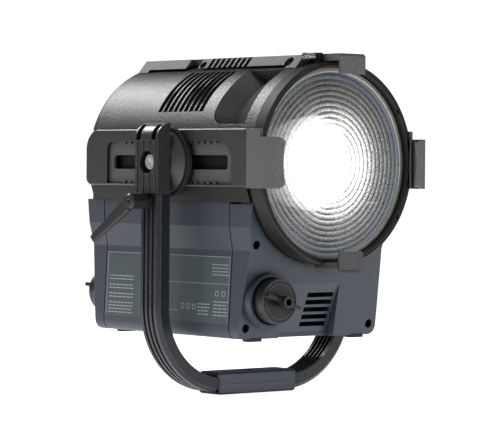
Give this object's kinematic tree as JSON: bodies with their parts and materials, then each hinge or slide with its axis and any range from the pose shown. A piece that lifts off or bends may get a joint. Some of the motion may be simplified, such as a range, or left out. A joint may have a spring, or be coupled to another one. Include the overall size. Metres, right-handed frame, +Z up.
{
  "type": "fresnel spotlight",
  "caption": "Fresnel spotlight: stepped glass lens in a vented barrel over an electronics box, tilting in an open yoke with a lock lever.",
  "frame": {"origin": "mouth of the yoke's mounting bore, in the flat underside of the centre clamp", "axes": "+Z up along the mounting bore, the lens faces -Y, +X to the right seen from behind the lens, the tilt axis runs along X"},
  "size_m": [0.2915, 0.3259, 0.338],
  "materials": {
    "yoke_black": "satin black powder coat on an aluminium extrusion",
    "clamp_paint": "blue-grey satin powder coat",
    "barrel_paint": "dark grey fine-textured powder coat",
    "dark_moulding": "matte brown-black moulding",
    "box_moulding": "blue-grey fine-textured moulding",
    "knob_moulding": "matte black moulding",
    "disc_metal": "satin anodised, dark grey",
    "pad_plastic": "black low-friction plastic",
    "bronze": "machined bronze",
    "screw_steel": "zinc-plated steel",
    "bright_steel": "bright ground steel",
    "retainer_metal": "bright spun aluminium",
    "raw_aluminium": "plain extruded aluminium",
    "lens_glass": "clear borosilicate with a stippled back",
    "seal_rubber": "black rubber",
    "display_gloss": "glossy dark window",
    "port_plastic": "dark connector plastic",
    "label_film": "satin film, grey",
    "electronics": "circuit boards and a boxed supply",
    "led_phosphor": "yellow phosphor over white board",
    "mixer_white": "white reflective cone"
  },
  "bodies": {
    "yoke": {"yoke_arm_left": "yoke_black", "yoke_arm_right": "yoke_black", "arm_head_left": "yoke_black", "arm_head_right": "yoke_black", "pivot_bushes": "bronze", "clamp_lower": "clamp_paint", "clamp_upper": "clamp_paint", "clamp_screws": "screw_steel"},
    "pivot": {"pivot_disc_left": "disc_metal", "pivot_disc_right": "disc_metal", "friction_pads": "pad_plastic", "pivot_shoe_left": "pad_plastic", "pivot_shoe_right": "pad_plastic", "pivot_bolts": "screw_steel"},
    "lever": {"tilt_lever": "knob_moulding", "lever_screw": "screw_steel"},
    "head": {"top_shell": "barrel_paint", "top_cover": "barrel_paint", "lower_shell": "dark_moulding", "side_plate_left": "barrel_paint", "side_plate_right": "barrel_paint", "rack_left": "dark_moulding", "rack_right": "dark_moulding", "guide_rods": "bright_steel", "front_bezel": "dark_moulding", "clip_left": "barrel_paint", "clip_right": "barrel_paint", "clip_bottom": "dark_moulding", "latch_pin": "bright_steel", "latch_spring": "screw_steel", "lens": "lens_glass", "lens_retainer": "retainer_metal", "lens_gasket": "seal_rubber", "box_cover": "box_moulding", "box_front_cap": "box_moulding", "box_rear_cap": "box_moulding", "case_screws": "screw_steel", "display_window": "display_gloss", "power_ports": "port_plastic", "data_ports": "port_plastic", "feet": "seal_rubber", "labels": "label_film", "power_supply": "electronics", "driver_board": "electronics", "shaft_bushes": "pad_plastic", "fan_frame": "dark_moulding", "rear_cover": "dark_moulding"},
    "carriage": {"carriage_plate": "raw_aluminium", "heat_sink": "raw_aluminium", "led_board": "led_phosphor", "light_mixer": "mixer_white", "lead_nut": "bronze"},
    "zoom": {"zoom_screw": "screw_steel", "zoom_knob_front": "knob_moulding", "zoom_knob_rear": "knob_moulding"},
    "latch": {"top_latch": "dark_moulding"},
    "fan": {"fan_rotor": "dark_moulding"},
    "encoder": {"encoder_knob": "knob_moulding"},
    "button_upper": {"menu_button_upper": "knob_moulding"},
    "button_lower": {"menu_button_lower": "knob_moulding"}
  },
  "joints": [
    {"name": "tilt", "type": "hinge", "parent": "yoke", "child": "pivot", "pos_m": [0, 0.0025, 0.231], "axis": [1, 0, 0], "range_deg": [-28, 90]},
    {"name": "balance_slide", "type": "slide", "parent": "pivot", "child": "head", "axis": [0, 1, 0], "range_m": [-0.05, 0.05]},
    {"name": "lever_turn", "type": "hinge", "parent": "yoke", "child": "lever", "pos_m": [-0.14, 0.0025, 0.1925], "axis": [1, 0, 0], "range_deg": [-90, 90]},
    {"name": "led_slide", "type": "slide", "parent": "head", "child": "carriage", "axis": [0, 1, 0], "range_m": [-0.012, 0.038]},
    {"name": "zoom_spin", "type": "hinge", "parent": "head", "child": "zoom", "pos_m": [-0.061, 0, 0.0976], "axis": [0, 1, 0], "range_deg": [-217, 685]},
    {"name": "latch_lift", "type": "hinge", "parent": "head", "child": "latch", "pos_m": [0, -0.124, 0.3343], "axis": [-1, 0, 0], "range_deg": [0, 40], "stiffness_Nm_per_rad": 0.05, "springref_deg": -34.38},
    {"name": "fan_spin", "type": "hinge", "parent": "head", "child": "fan", "pos_m": [0, 0.122, 0.244], "axis": [0, 1, 0], "continuous": true},
    {"name": "encoder_turn", "type": "hinge", "parent": "head", "child": "encoder", "pos_m": [-0.05, 0.14767, 0.16379], "axis": [0, 0.9936, -0.1132], "continuous": true},
    {"name": "button_upper_press", "type": "slide", "parent": "head", "child": "button_upper", "axis": [0, -0.9936, 0.1132], "range_m": [0, 0.0015], "stiffness_N_per_m": 400, "springref_m": -0.0005},
    {"name": "button_lower_press", "type": "slide", "parent": "head", "child": "button_lower", "axis": [0, -0.9936, 0.1132], "range_m": [0, 0.0015], "stiffness_N_per_m": 400, "springref_m": -0.0005}
  ],
  "couplings": [
    {"joint": "zoom_spin", "follows": "led_slide", "rad_per_m": 314.16}
  ]
}
